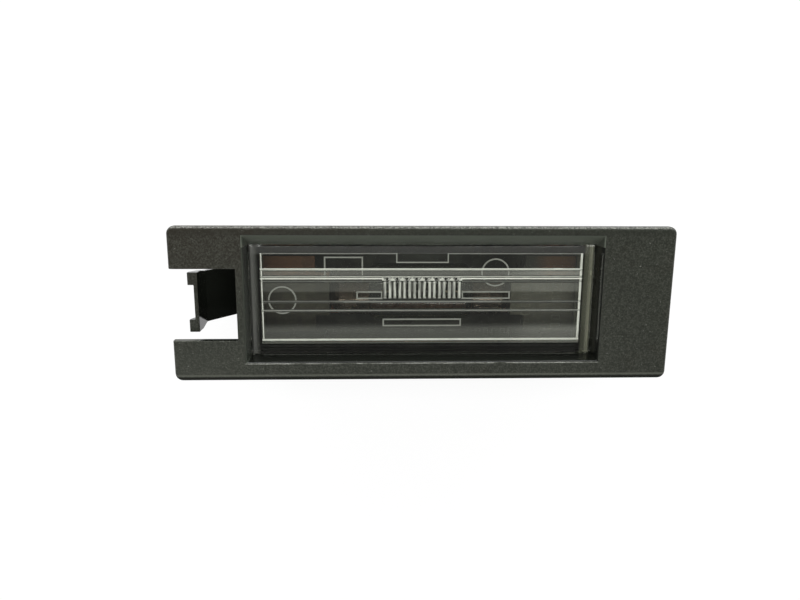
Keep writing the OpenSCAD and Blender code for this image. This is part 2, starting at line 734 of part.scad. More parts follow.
module bus_bar_left() {
    pin_y = -pin_pitch / 2;
    color([0.62, 0.42, 0.26]) difference() {
        union() {
            strip(-rivet_x - pad, -bus_y - bus_w / 2, -rivet_x + pad, pad);
            strip(-rivet_x - pad, -bus_y - bus_w / 2, bus_jog_x + bus_w, -bus_y + bus_w / 2);
            strip(bus_jog_x, -bus_y - bus_w / 2, bus_jog_x + bus_w, pin_y + pin_w / 2);
            strip(bus_jog_x, pin_y - pin_w / 2, pin_up_x + bus_t, pin_y + pin_w / 2);
            blade(pin_y);
        }
        at_end(false) rivet_column(rivet_r + rivet_gap, -cut, carrier_t + cut);
    }
}

module bus_bar_right() {
    pin_y = pin_pitch / 2;
    color([0.62, 0.42, 0.26]) difference() {
        union() {
            strip(rivet_x - pad, -pad, rivet_x + pad, max(pad, pin_y + pin_w / 2));
            strip(rivet_x, pin_y - pin_w / 2, pin_up_x + bus_t, pin_y + pin_w / 2);
            blade(pin_y);
        }
        rivet_column(rivet_r + rivet_gap, -cut, carrier_t + cut);
    }
}

// Rivet through the contact, the bus bar and the carrier at the right end
module rivet() {
    under_z = rivet_head_t + head_gap;
    over_z = carrier_t + contact_t;
    rivet_column(rivet_r, under_z - rivet_head_t / 2, over_z + rivet_head_t / 2);
    rivet_column(rivet_head_r, under_z - rivet_head_t, under_z);
    rivet_column(rivet_head_r, over_z, over_z + rivet_head_t);
}

module contact_rivet_left() {
    color([0.66, 0.62, 0.55]) at_end(false) rivet();
}

module contact_rivet_right() {
    color([0.66, 0.62, 0.55]) at_end(true) rivet();
}

// Bulb

// Half of the glass's outline from the middle to one neck, a distance in from the surface
function glass_half(inset) = [
    [glass_straight / 2, glass_dia / 2 - inset],
    [glass_straight / 2 + shoulder * 0.4, glass_dia / 2 - inset - (glass_dia / 2 - neck_r) * 0.12],
    [glass_straight / 2 + shoulder * 0.75, glass_dia / 2 - inset - (glass_dia / 2 - neck_r) * 0.5],
    [glass_straight / 2 + shoulder, neck_r - inset]
];
function mirrored(points) = [for (i = [len(points) - 1 : -1 : 0]) [-points[i][0], points[i][1]]];

module bulb_glass() {
    inner_end_x = neck_end_x - seal_t;
    color([0.9, 0.92, 0.9, 0.3]) translate([0, 0, bulb_z]) difference() {
        turned_on_x(concat(
            [[-neck_end_x, 0], [-neck_end_x, neck_r]], mirrored(glass_half(0)),
            glass_half(0), [[neck_end_x, neck_r], [neck_end_x, 0]]
        ));
        turned_on_x(concat(
            [[-inner_end_x, 0], [-inner_end_x, neck_r - glass_t]], mirrored(glass_half(glass_t)),
            glass_half(glass_t), [[inner_end_x, neck_r - glass_t], [inner_end_x, 0]]
        ));
        rotate([0, 90, 0]) cylinder(h = bulb_l, r = lead_r + neck_gap / 4, center = true);
    }
}

// Cap at the right end: thin metal tube with a cone and a small hole in its end
module bulb_cap() {
    hole_r = lead_r + neck_gap / 4;
    translate([0, 0, bulb_z]) turned_on_x([
        [cap_start_x, cap_r - cap_t], [cap_start_x, cap_r], [cap_cone_x, cap_r], [cap_tip_x, cap_end_r],
        [cap_tip_x, hole_r], [cap_tip_x - cap_t, hole_r], [cap_tip_x - cap_t, cap_end_r],
        [cap_cone_x, cap_r - cap_t]
    ]);
}

module bulb_cap_left() {
    color([0.75, 0.74, 0.7]) at_end(false) bulb_cap();
}

module bulb_cap_right() {
    color([0.75, 0.74, 0.7]) at_end(true) bulb_cap();
}

// Solder dot on the end of the right cap
module solder_dot() {
    dot_r = cap_end_r * 0.8;
    translate([0, 0, bulb_z]) turned_on_x([
        [cap_tip_x, 0], [cap_tip_x, dot_r], [cap_tip_x + solder_h * 0.6, dot_r * 0.8],
        [cap_tip_x + solder_h, dot_r * 0.35], [cap_tip_x + solder_h, 0]
    ]);
}

module bulb_solder_left() {
    color([0.7, 0.7, 0.7]) at_end(false) solder_dot();
}

module bulb_solder_right() {
    color([0.7, 0.7, 0.7]) at_end(true) solder_dot();
}

module bulb_filament() {
    color([0.4, 0.4, 0.42]) translate([0, 0, bulb_z]) rotate([0, 90, 0])
        cylinder(h = filament_l, r = filament_r, center = true);
}

// Lead wire from the filament to the solder dot at the right end
module lead_wire() {
    translate([filament_l / 2, 0, bulb_z]) rotate([0, 90, 0]) cylinder(h = cap_tip_x - filament_l / 2, r = lead_r);
}

module lead_wire_left() {
    color([0.55, 0.5, 0.45]) at_end(false) lead_wire();
}

module lead_wire_right() {
    color([0.55, 0.5, 0.45]) at_end(true) lead_wire();
}

housing();
lens();
lens_seal();
bulb_carrier();
carrier_seal();
contact_left();
contact_right();
bus_bar_left();
bus_bar_right();
contact_rivet_left();
contact_rivet_right();
bulb_glass();
bulb_cap_left();
bulb_cap_right();
bulb_solder_left();
bulb_solder_right();
bulb_filament();
lead_wire_left();
lead_wire_right();
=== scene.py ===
import json
from math import pi, radians

import bmesh
import bpy
import numpy as np
from mathutils import Matrix, Vector


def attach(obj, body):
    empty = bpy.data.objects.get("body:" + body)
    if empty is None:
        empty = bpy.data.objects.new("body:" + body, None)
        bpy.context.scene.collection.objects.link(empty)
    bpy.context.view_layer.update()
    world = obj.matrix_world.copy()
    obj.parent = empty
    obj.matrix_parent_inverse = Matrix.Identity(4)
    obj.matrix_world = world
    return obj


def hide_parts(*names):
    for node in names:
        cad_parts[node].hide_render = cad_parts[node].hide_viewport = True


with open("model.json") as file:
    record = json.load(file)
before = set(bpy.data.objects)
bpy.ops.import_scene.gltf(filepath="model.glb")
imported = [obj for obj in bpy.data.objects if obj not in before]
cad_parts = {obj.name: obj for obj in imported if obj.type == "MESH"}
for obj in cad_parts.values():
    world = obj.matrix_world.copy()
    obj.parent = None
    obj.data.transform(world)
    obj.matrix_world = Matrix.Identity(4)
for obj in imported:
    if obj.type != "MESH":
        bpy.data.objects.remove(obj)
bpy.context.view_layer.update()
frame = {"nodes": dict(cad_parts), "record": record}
print("frame loaded:", len(frame["nodes"]), "nodes")

mm = 0.001


# One output socket of a material. Arithmetic on wires adds Math nodes.
class Wire:
    def __init__(self, paint, socket):
        self.paint = paint
        self.socket = socket

    def maths(self, operation, first, second=0.0):
        return self.paint.node("Math", {"operation": operation}, {0: first, 1: second})

    def __add__(self, other):
        return self.maths("ADD", self, other)

    def __sub__(self, other):
        return self.maths("SUBTRACT", self, other)

    def __rsub__(self, other):
        return self.maths("SUBTRACT", other, self)

    def __mul__(self, other):
        return self.maths("MULTIPLY", self, other)

    def __truediv__(self, other):
        return self.maths("DIVIDE", self, other)

    def __abs__(self):
        return self.maths("ABSOLUTE", self)

    def __gt__(self, other):
        return self.maths("GREATER_THAN", self, other)

    def __lt__(self, other):
        return self.maths("LESS_THAN", self, other)

    __radd__ = __add__
    __rmul__ = __mul__

    # 0 below low, 1 above high, and a smooth rise between them
    def rise(self, low, high):
        settings = {"interpolation_type": "SMOOTHSTEP"}
        sockets = {"Value": self, "From Min": low, "From Max": high}
        return self.paint.node("MapRange", settings, sockets)


# A node tree that is filled from Python: one method adds any node
class Paint:
    def __init__(self, tree):
        self.tree = tree

    # Settings go in before the sockets; a socket takes a number, a colour or a wire
    def node(self, kind, settings=None, sockets=None, out=0):
        made = self.tree.nodes.new("ShaderNode" + kind)
        for key, value in (settings or {}).items():
            setattr(made, key, value)
        for key, value in (sockets or {}).items():
            if isinstance(value, Wire):
                self.tree.links.new(value.socket, made.inputs[key])
            else:
                made.inputs[key].default_value = value
        return Wire(self, made.outputs[out])

    # Colour a where the factor is 0 and colour b where it is 1
    def blend(self, factor, a, b):
        colours = [c if isinstance(c, Wire) else (*c, 1.0) for c in (a, b)]
        return self.node("Mix", {"data_type": "RGBA"}, {0: factor, 6: colours[0], 7: colours[1]}, out=2)

    # The larger of two values
    def most(self, a, b):
        return self.node("Math", {"operation": "MAXIMUM"}, {0: a, 1: b})

    # 1 in a band about the middle, and a smooth fall to 0 from inner to outer away from it
    def band(self, along, middle, inner, outer):
        return 1 - abs(along - middle).rise(inner, outer)

    # The place on the piece, stretched by three factors
    def place(self, stretch=(1, 1, 1)):
        spot = self.node("TexCoord", out=3)
        return self.node("Mapping", {}, {"Vector": spot, "Scale": stretch})

    # The place's three coordinates, in metres
    def axes(self):
        spot = self.node("TexCoord", out=3)
        parts = self.node("SeparateXYZ", {}, {0: spot}).socket.node.outputs
        return [Wire(self, part) for part in parts]

    # Noise whose lumps are about size across, in metres
    def noise(self, size, detail=2.0, stretch=(1, 1, 1), rough=0.5):
        sockets = {"Vector": self.place(stretch), "Scale": 1 / size, "Detail": detail, "Roughness": rough}
        return self.node("TexNoise", {}, sockets)

    # Cells about size across: the distance to the nearest cell's middle
    def cells(self, size):
        return self.node("TexVoronoi", {}, {"Vector": self.place(), "Scale": 1 / size})

    # Surface relief from a height between 0 and 1 that stands for a depth in metres
    def relief(self, height, depth):
        return self.node("Bump", {}, {"Height": height, "Distance": depth, "Strength": 1.0})


# A finish with a Principled shader whose sockets are given by name
def makeFinish(name, paintIt):
    material = bpy.data.materials.new(name)
    material.use_nodes = True
    paint = Paint(material.node_tree)
    shader = material.node_tree.nodes["Principled BSDF"]
    for key, value in paintIt(paint).items():
        if isinstance(value, Wire):
            paint.tree.links.new(value.socket, shader.inputs[key])
        else:
            shader.inputs[key].default_value = value
    return material


# Lets light through a clear finish in straight lines for shadow rays and diffuse rays, so that the inside is
# lit: the factor of the mix is the larger of the two rays' flags
def letLightThrough(material, tint):
    paint = Paint(material.node_tree)
    surface = material.node_tree.nodes["Material Output"].inputs["Surface"]
    solid = Wire(paint, surface.links[0].from_socket)
    clear = paint.node("BsdfTransparent", {}, {"Color": (*tint, 1.0)})
    straight = paint.most(paint.node("LightPath", out=1), paint.node("LightPath", out=2))
    mixed = paint.node("MixShader", {}, {0: straight, 1: solid, 2: clear})
    paint.tree.links.new(mixed.socket, surface)
    return material


framePlastic = {
    "olive": (0.0165, 0.0187, 0.0132),
    "brown": (0.0175, 0.0145, 0.0095),
    # Pale grain crests; the same tone paints the highlight line above the lower edge and the sheen at the
    # lower left
    "crestAndHighlight": (0.080, 0.084, 0.068),
    "speck": (0.30, 0.31, 0.28),
    # Painted highlight at the window's lower edge and, speckled, along the top edge
    "edgeHighlight": (0.26, 0.265, 0.24),
    "black": (0.008, 0.009, 0.0072),
    # Painted light: lighter greys for the chamber's lit walls and the light mirrored by the slope
    "chamber": (0.075, 0.08, 0.058),
    "slope": (0.12, 0.134, 0.108),
    "grain": 0.30 * mm,
    "grainDepth": 0.13 * mm,
    "mottle": 5 * mm,
    "gloss": 0.42,
    "grainGloss": 0.3,
    "shadedGloss": 0.5,
    "blackGloss": 0.05,
    "fineGloss": 0.04,
    "chamberGloss": 0.28,
    "outsideGloss": 0.22,
    "shine": 0.3,
    # Brown gathers at the upper left corner and in patches of the mottling
    "cornerX": (12 * mm, -42 * mm),
    "cornerY": (-4 * mm, 10 * mm),
    "cornerShare": 0.8,
    "patch": (0.5, 0.75),
    "patchShare": 0.25,
    # The grain's crests are worn pale; along the upper border they are kept darker, a painted shade
    "crestGrain": (0.33, 0.74),
    "crestFine": (0.2, 0.75),
    "crestShare": 0.75,
    "topShadeY": (11.2 * mm, 12.4 * mm),
    "topShadeShare": 0.45,
    "speckPitch": 1.5 * mm,
    "speckSize": 0.11,
    "speckFine": (0.58, 0.64),
    "speckShare": 0.7,
    # The lower left is paler, a painted sheen
    "sheenX": (-22 * mm, -42 * mm),
    "sheenY": (-3 * mm, -12 * mm),
    "sheenShare": 0.2,
    # The window, the slope above the lens and the chamber behind it
    "windowX": 30.46 * mm,
    "windowLowY": -10.21 * mm,
    "windowHighY": 11.86 * mm,
    "faceZ": 22.93 * mm,
    "seatZ": 21.4 * mm,
    "lensFrontZ": 19.02 * mm,
    "lensBackZ": 16.9 * mm,
    "slopeY": 9.75 * mm,
    "bodyY": 11.2 * mm,
    "sideX": 30 * mm,
    "sideShare": 0.35,
    # The notch and the catch's tip in it
    "notchX": -30.9 * mm,
    "notchY": 6.2 * mm,
    "tipZ": 20.44 * mm,
    "tipX": -38 * mm,
    # Painted highlights along the window's lower edge, the top edge and the lower edge, and painted shade on
    # the side below
    "lipY": -10.24 * mm,
    "lipWide": 0.09 * mm,
    "lipZ": 22.7 * mm,
    "lipFine": (0.35, 0.6),
    "lipMottle": (0.3, 0.55),
    "topY": (12.8 * mm, 13.05 * mm),
    "roundZ": (22.4 * mm, 22.75 * mm),
    "topGrain": (0.36, 0.66),
    "topShare": 0.5,
    "lowLineY": -12.3 * mm,
    "lowLine": (0.088 * mm, 0.22 * mm),
    "lowShare": 0.85,
    "shadedY": -12.56 * mm,
    "shadedShare": 0.8,
}


# Grained on the face and its edges, black and glossy in the window, the notch and behind, and painted a
# lighter grey in the chamber for the light on its walls and on the slope above the lens for the light it
# mirrors. Each area is a product of comparisons, 0 or 1, and each tone is blended over the one before.
def paintFrame(paint):
    v = framePlastic
    x, y, z = paint.axes()
    inWindow = (abs(x) < v["windowX"]) * (y > v["windowLowY"]) * (y < v["windowHighY"]) * (z < v["faceZ"])
    inNotch = (x < v["notchX"]) * (abs(y) < v["notchY"]) * (z < v["faceZ"])
    catchTip = (z > v["tipZ"]) * (x < v["tipX"]) * inNotch
    smooth = paint.most(paint.most(inWindow, inNotch), z < v["seatZ"]) * (1 - catchTip)
    grained = 1 - smooth
    outside = (z < v["seatZ"]) * (1 - inWindow) * (1 - inNotch)
    shaded = y < v["shadedY"]
    chamber = (z < v["lensBackZ"]) * (abs(x) < v["windowX"])
    chamber = chamber * (y > v["windowLowY"]) * (y < -v["windowLowY"])
    grain = paint.noise(v["grain"], 2, rough=0.55)
    fine = paint.noise(v["grain"] / 2.6, 2)
    mottle = paint.noise(v["mottle"], 3)

    corner = x.rise(*v["cornerX"]) * y.rise(*v["cornerY"])
    patches = mottle.rise(*v["patch"]) * v["patchShare"]
    face = paint.blend(corner * v["cornerShare"] + patches, v["olive"], v["brown"])
    # Darker along the upper border: painted shade
    worn = v["crestShare"] - y.rise(*v["topShadeY"]) * v["topShadeShare"]
    crests = grain.rise(*v["crestGrain"]) * fine.rise(*v["crestFine"]) * worn
    face = paint.blend(crests, face, v["crestAndHighlight"])
    specks = (paint.cells(v["speckPitch"]) < v["speckSize"]) * fine.rise(*v["speckFine"])
    face = paint.blend(specks * v["speckShare"], face, v["speck"])
    # Painted sheen: the lower left paler
    pale = x.rise(*v["sheenX"]) * y.rise(*v["sheenY"])
    face = paint.blend(pale * v["sheenShare"], face, v["crestAndHighlight"])
    # Painted highlights: a speckled line at the window's lower edge, the top edge, and a line above the lower
    # edge
    lipHighlight = (abs(y - v["lipY"]) < v["lipWide"]) * (abs(x) < v["windowX"]) * (z > v["lipZ"])
    face = paint.blend(lipHighlight * fine.rise(*v["lipFine"]) * mottle.rise(*v["lipMottle"]), face, v["edgeHighlight"])
    topHighlight = y.rise(*v["topY"]) * z.rise(*v["roundZ"]) * grain.rise(*v["topGrain"])
    face = paint.blend(topHighlight * v["topShare"], face, v["edgeHighlight"])
    lowHighlight = paint.band(y, v["lowLineY"], *v["lowLine"]) * (z > v["roundZ"][0])
    face = paint.blend(lowHighlight * v["lowShare"], face, v["crestAndHighlight"])
    # Painted shade along the lower side
    face = paint.blend(shaded * v["shadedShare"], face, v["black"])

    # Painted light: the chamber a lighter grey, then the slope above the lens lighter still
    plain = paint.blend(chamber * (0.75 + mottle * 0.5), v["black"], v["chamber"])
    slope = (y > v["slopeY"]) + (x < -v["sideX"]) * v["sideShare"]
    slope = inWindow * (z > v["lensFrontZ"]) * slope * paint.most(y < v["bodyY"], z > v["seatZ"])
    plain = paint.blend(slope * (0.6 + fine * 0.5), plain, v["slope"])

    grainedRough = v["gloss"] + (grain - 0.5) * v["grainGloss"] + shaded * v["shadedGloss"]
    smoothRough = v["blackGloss"] + fine * v["fineGloss"]
    smoothRough = smoothRough + (chamber + slope) * v["chamberGloss"] + outside * v["outsideGloss"]
    height = (grain * 0.7 + fine * 0.3) * (grained + 0.02 + outside * 0.08)
    return {
        "Base Color": paint.blend(smooth, face, plain),
        "Roughness": grainedRough * grained + smoothRough * smooth,
        "Normal": paint.relief(height, v["grainDepth"]),
        "Specular IOR Level": v["shine"],
    }


lensPlastic = {
    "tint": (0.96, 0.975, 0.935),
    "dustTint": (0.8, 0.8, 0.76),
    "shadowTint": (0.93, 0.945, 0.90),
    "satin": (0.96, 0.975, 0.91),
    # Olive tint of the satin at the lens's ends, part of the painted light on the rims
    "endTint": (0.86, 0.88, 0.66),
    "endX": (28.5 * mm, 29.0 * mm),
    "satinGloss": 0.4,
    "wave": 5 * mm,
    "waveDepth": 0.0008 * mm,
    "dust": 0.5 * mm,
    "dustBand": (0.62, 0.8),
    "wear": 1.6 * mm,
    "wearBand": (0.2, 0.55),
    "streak": 0.5 * mm,
    "streakBand": (0.35, 0.65),
    # The back face, between the rim's inner corners
    "backHigh": 17.08 * mm,
    "backLow": 16.4 * mm,
    "sideX": 28.45 * mm,
    "sideY": 8.25 * mm,
    "lowY": -7.56 * mm,
    # Each painted highlight line along the lens: place across, half its width, whiteness
    "lines": (
        (5.27, 0.19, 1.0), (3.95, 0.12, 0.8), (3.62, 0.11, 1.0), (3.15, 0.08, 0.3),
        (-0.5, 0.08, 0.3), (-2.1, 0.1, 0.5), (-7.4, 0.2, 1.0), (8.05, 0.1, 0.25),
    ),
    # Each painted highlight line across the lens: place along, half its width, whiteness
    "crossHighlights": ((-28.08, 0.11, 0.9), (28.1, 0.2, 0.85)),
    "lineSoft": (0.7, 1.2),
    "ridges": (5.2, 3.95, 3.15, -0.5, -2.1),
    "ridgeHalf": 0.26 * mm,
    # Each satin strip, painted lighter for reflected light: lower side, upper side, haze, softness of its
    # sides
    "reflectionStrips": ((4.2, 5.0, 0.15, 0.15), (1.3, 2.9, 0.068, 0.2), (-8.2, -5.0, 0.108, 0.8)),
    "hazeAll": 0.012,
    "hazeTone": 0.9,
    # The painted haze grows towards the right
    "rightX": (12 * mm, 22 * mm),
    "rightShare": 0.6,
    "farRightX": (14 * mm, 20 * mm),
    "farRightReflection": 0.012,
    # Painted haze for reflected light on the rims at both ends, more at the right, and on the front of the
    # upper rim
    "rimX": (28.8 * mm, 29.3 * mm),
    "endReflection": 0.08,
    "rightReflection": 0.05,
    "rimY": (8.0 * mm, 8.4 * mm),
    "frontZ": 18.9 * mm,
    "rimReflection": 0.05,
    # The raised marks, painted as highlights, and those that are white on their flanks only
    "raisedZ": 16.965 * mm,
    "raisedTopZ": 16.87 * mm,
    "raisedHighlight": 0.3,
    "barRowY": -5.3 * mm,
    "barColumnX": 16.5 * mm,
    # The tab's outline at the upper side, a painted highlight line
    "tabLowY": 6.5 * mm,
    "tabHighY": 8.1 * mm,
    "tabX": 4.5 * mm,
    "tabLine": 0.09 * mm,
    "tabSoft": (0.7, 1.3),
    "tabHighlight": 0.4,
    # The block of flutes: a painted highlight line on each flank, and a painted highlight triangle at the tip
    "fluteX": 7.05 * mm,
    "fluteLow": 0.1 * mm,
    "fluteHigh": 3.95 * mm,
    "flutePitch": 1.75 * mm,
    "fluteLine": 0.44 * mm,
    "fluteLineHalf": 0.32 * mm,
    "flankHighY": 2.99 * mm,
    "tipLow": 3.24 * mm,
    "tipHigh": 3.85 * mm,
    "tipSlope": 0.87,
}


# Where the lens is painted satin, and how white it is there: painted highlights as fine white lines at its
# ridges, marks, flutes, tab and inner corners; faint satin strips and rim haze, painted lighter for reflected
# light; and the rest of each ridge in dark satin. A line's mask is 1 near its middle and falls to 0 at its
# sides. A flute is (fraction of x / pitch - 1/2) * pitch away from its middle.
def paintedLightMask(paint):
    v = lensPlastic
    x, y, z = paint.axes()
    inside = (abs(x) < v["sideX"]) * (y < v["sideY"]) * (y > v["lowY"])
    back = (z < v["backHigh"]) * (z > v["backLow"])
    inFlutes = (abs(x) < v["fluteX"]) * (y > v["fluteLow"]) * (y < v["fluteHigh"])
    wear = paint.noise(v["wear"], 3).rise(*v["wearBand"])

    highlights = 0.0
    inner, outer = v["lineSoft"]
    for along, rows in ((y, v["lines"]), (x, v["crossHighlights"])):
        for middle, half, tone in rows:
            line = paint.band(along, middle * mm, half * inner * mm, half * outer * mm)
            highlights = paint.most(line * tone, highlights)
    outOfTab = paint.most(abs(x) - v["tabX"], v["tabLowY"] - y)
    onTab = (outOfTab < v["tabLine"]) * (y < v["tabHighY"])
    highlights = highlights * (1 - inFlutes) * (1 - onTab)
    inner, outer = v["tabSoft"]
    tabLine = 1 - abs(outOfTab).rise(v["tabLine"] * inner, v["tabLine"] * outer)
    highlights = paint.most(tabLine * (y < v["tabHighY"]) * v["tabHighlight"], highlights)

    share = paint.node("Math", {"operation": "FRACT"}, {0: x / v["flutePitch"] + 20})
    fromMiddle = abs(share - 0.5) * v["flutePitch"]
    flank = paint.band(fromMiddle, v["fluteLine"], v["fluteLineHalf"] * 0.4, v["fluteLineHalf"])
    streak = paint.noise(v["streak"], 2, (1, 0.12, 1)).rise(*v["streakBand"])
    flank = flank * (y < v["flankHighY"]) * (0.35 + streak * 0.6)
    tip = (y > v["tipLow"]) * ((v["tipHigh"] - y) * v["tipSlope"] > v["flutePitch"] / 2 - fromMiddle)
    flutes = paint.most(flank, tip) * inFlutes

    onRidge = 0.0
    for middle in v["ridges"]:
        onRidge = paint.most(abs(y - middle * mm) < v["ridgeHalf"], onRidge)
    flankOnly = paint.most(paint.most(y < v["barRowY"], x > v["barColumnX"]), onTab)
    top = (z < v["raisedTopZ"]) * flankOnly
    raised = (z < v["raisedZ"]) * (1 - inFlutes) * (1 - onRidge) * v["raisedHighlight"] * (1 - top)
    highlights = paint.most(paint.most(highlights, raised), flutes) * back * inside

    # Painted reflected light: lighter satin strips, more towards the right, and haze on the rims
    haze = v["hazeAll"]
    for low, high, amount, soft in v["reflectionStrips"]:
        lowSide = y.rise((low - soft) * mm, (low + soft) * mm)
        highSide = y.rise((high + soft) * mm, (high - soft) * mm)
        haze = lowSide * highSide * amount + haze
    haze = haze * (1 + x.rise(*v["rightX"]) * v["rightShare"])
    haze = (haze + x.rise(*v["farRightX"]) * v["farRightReflection"]) * back
    edge = abs(x).rise(*v["rimX"]) * v["endReflection"] + x.rise(*v["rimX"]) * v["rightReflection"]
    edge = edge + (z > v["frontZ"]) * y.rise(*v["rimY"]) * v["rimReflection"]

    # Away from their highlight lines the ridges are painted a dark satin
    onRidge = onRidge * (1 - inFlutes) * back * inside
    cover = paint.most(highlights.rise(0.02, 0.2) * (0.85 + wear * 0.15), onRidge)
    hazeTone = (1 - highlights.rise(0.0, 0.05)) * v["hazeTone"] * (1 - onRidge * 0.92)
    return paint.most(cover, haze + edge), paint.most(highlights, hazeTone)


# Clear plastic with the faint waves of a moulding and a little dust, mixed with satin where the mask paints
# highlights and lighter strips
def makeLensFinish():
    v = lensPlastic

    def paintLens(paint):
        wave = paint.noise(v["wave"], 2)
        dust = paint.noise(v["dust"], 3).rise(*v["dustBand"])
        return {
            "Base Color": paint.blend(dust * 0.1, v["tint"], v["dustTint"]),
            "Roughness": 0.004 + dust * 0.05,
            "Transmission Weight": 1.0,
            "IOR": 1.58,
            "Normal": paint.relief(wave, v["waveDepth"]),
        }

    material = makeFinish("clearLensPlastic", paintLens)
    paint = Paint(material.node_tree)
    nodes = material.node_tree.nodes
    mask, tone = paintedLightMask(paint)
    colour = paint.blend(paint.axes()[0].rise(*v["endX"]), v["satin"], v["endTint"])
    colour = paint.blend(tone, (0, 0, 0), colour)
    satin = paint.node("BsdfPrincipled", {}, {"Base Color": colour, "Roughness": v["satinGloss"]})
    clear = Wire(paint, nodes["Principled BSDF"].outputs[0])
    mixed = paint.node("MixShader", {}, {0: mask, 1: clear, 2: satin})
    paint.tree.links.new(mixed.socket, nodes["Material Output"].inputs["Surface"])
    return letLightThrough(material, v["shadowTint"])


bulbClear = {
    "tint": (0.95, 0.965, 0.945),
    "hazeTint": (0.45, 0.44, 0.42),
    "shadowTint": (0.92, 0.93, 0.91),
    "wave": 1.8 * mm,
    "waveDepth": 0.0015 * mm,
    "hazeX": (6.5 * mm, 11.5 * mm),
}


# Drawn glass tube: waves along its length, and a grey haze near the caps
def paintGlass(paint):
    v = bulbClear
    haze = abs(paint.axes()[0]).rise(*v["hazeX"])
    streak = paint.noise(v["wave"], 2, (0.25, 1, 1))
    return {
        "Base Color": paint.blend(haze * 0.35, v["tint"], v["hazeTint"]),
        "Roughness": 0.006 + haze * 0.06 + streak * 0.01,
        "Transmission Weight": 1.0,
        "IOR": 1.5,
        "Normal": paint.relief(streak, v["waveDepth"]),
    }


# Metal with fine lines and darker tarnish: bright to dull by the patches, then a quarter of the way to dull
# on each line. Gloss is its roughness where it is bright.
def metalPaint(bright, dull, lines, patch, gloss, spread, relief=0.004):
    def paintIt(paint):
        line = paint.noise(0.09 * mm, 2, lines)
        tarnish = paint.noise(patch * mm, 4, rough=0.62)
        cover = tarnish.rise(0.42, 0.64)
        colour = paint.blend(cover, bright, dull)
        return {
            "Base Color": paint.blend(line * 0.25, colour, dull),
            "Metallic": 1.0 - cover * 0.25,
            "Roughness": gloss + (line - 0.5) * 0.14 + cover * spread,
            "Normal": paint.relief(line + tarnish * 0.4, relief * mm),
        }

    return paintIt


contactMetal = {
    "brown": ((0.15, 0.08, 0.05), (0.085, 0.046, 0.03)),
    "dark": ((0.05, 0.05, 0.042), (0.03, 0.03, 0.025)),
    "left": ((0.088, 0.083, 0.066), (0.05, 0.047, 0.038)),
    "right": ((0.16, 0.155, 0.125), (0.10, 0.096, 0.078)),
    "upperY": (2.4 * mm, 3.8 * mm),
    "outerX": (20 * mm, 24 * mm),
    "lines": (1, 0.06, 1),
    "patch": 5.0,
    "gloss": 0.5,
    "spread": 0.12,
}


# Spring bronze, brown at its upper end but dark grey in its upper middle, and grey below, darker on the left.
# Each tone has a bright and a dull colour.
def paintContact(paint):
    v = contactMetal
    x, y = paint.axes()[:2]
    upper = y.rise(*v["upperY"])
    outer = paint.most(x < 0, x.rise(*v["outerX"]))
    bright, dull = [paint.blend(
        upper,
        paint.blend(x > 0, v["left"][k], v["right"][k]),
        paint.blend(outer, v["dark"][k], v["brown"][k])) for k in (0, 1)]
    return metalPaint(bright, dull, v["lines"], v["patch"], v["gloss"], v["spread"])(paint)


# Dull plastic or rubber: fine grain, a slow change of tone and handling marks
def dullPaint(dark, light, grain, gloss, depth, shine=0.5):
    def paintIt(paint):
        fine = paint.noise(grain * mm, 3)
        slow = paint.noise(3.4 * mm, 4)
        mark = paint.noise(1.1 * mm, 3, (1, 0.2, 1)).rise(0.62, 0.74)
        return {
            "Base Color": paint.blend(slow.rise(0.35, 0.65), dark, light),
            "Roughness": gloss + (fine - 0.5) * 0.16 - mark * 0.1,
            "Normal": paint.relief(fine + mark * 0.2, depth * mm),
            "Specular IOR Level": shine,
        }

    return paintIt


# Each metal: name, bright and dull tone, stretch of its lines, size of a patch in mm, gloss, its spread and,
# where it isn't the usual, its relief in mm
metalFinishes = {
    "bus_brass": ("rolledBrass", (0.46, 0.24, 0.15), (0.16, 0.07, 0.05), (0.06, 1, 1), 2.6, 0.36, 0.2),
    "rivet_metal": ("tinnedRivet", (0.62, 0.57, 0.48), (0.30, 0.25, 0.19), (1, 1, 0.2), 0.7, 0.28, 0.2),
    "cap_metal": ("nickelCap", (0.16, 0.13, 0.105), (0.08, 0.062, 0.048), (1, 0.03, 0.03), 3.0, 0.2, 0.15),
    "solder": ("dullSolder", (0.58, 0.58, 0.57), (0.30, 0.30, 0.30), (1, 1, 1), 0.35, 0.36, 0.22, 0.02),
    "filament_wire": ("tungstenWire", (0.30, 0.30, 0.32), (0.12, 0.12, 0.13), (0.1, 1, 1), 0.3, 0.4, 0.2),
    "lead_wire": ("leadWire", (0.52, 0.46, 0.38), (0.24, 0.18, 0.13), (0.1, 1, 1), 0.8, 0.32, 0.2),
}
# Each dull one: name, dark and light tone, size of its grain in mm, gloss, relief in mm, shine
dullFinishes = {
    "sealant": ("blackSealant", (0.005, 0.005, 0.005), (0.009, 0.009, 0.008), 0.3, 0.55, 0.012, 0.12),
    "carrier_plastic": ("carrierPlastic", (0.015, 0.015, 0.014), (0.03, 0.03, 0.027), 0.22, 0.36, 0.012),
}
finishes = {
    "frame_plastic": makeFinish("grainedFramePlastic", paintFrame),
    "lens_plastic": makeLensFinish(),
    "bulb_glass": letLightThrough(makeFinish("drawnBulbGlass", paintGlass), bulbClear["shadowTint"]),
    "contact_bronze": makeFinish("springBronze", paintContact),
}
for rows, painter in ((metalFinishes, metalPaint), (dullFinishes, dullPaint)):
    for slot, (name, *look) in rows.items():
        finishes[slot] = makeFinish(name, painter(*look))
slotOf = {row["node"]: row["material_slot"] for row in frame["record"]["subparts"]}
print("finishes made:", len(finishes))


# Smooth shading that breaks where two faces meet at more than the angle
def shade(mesh, angle=35):
    mesh.shade_smooth()
    mesh.set_sharp_from_angle(angle=radians(angle))


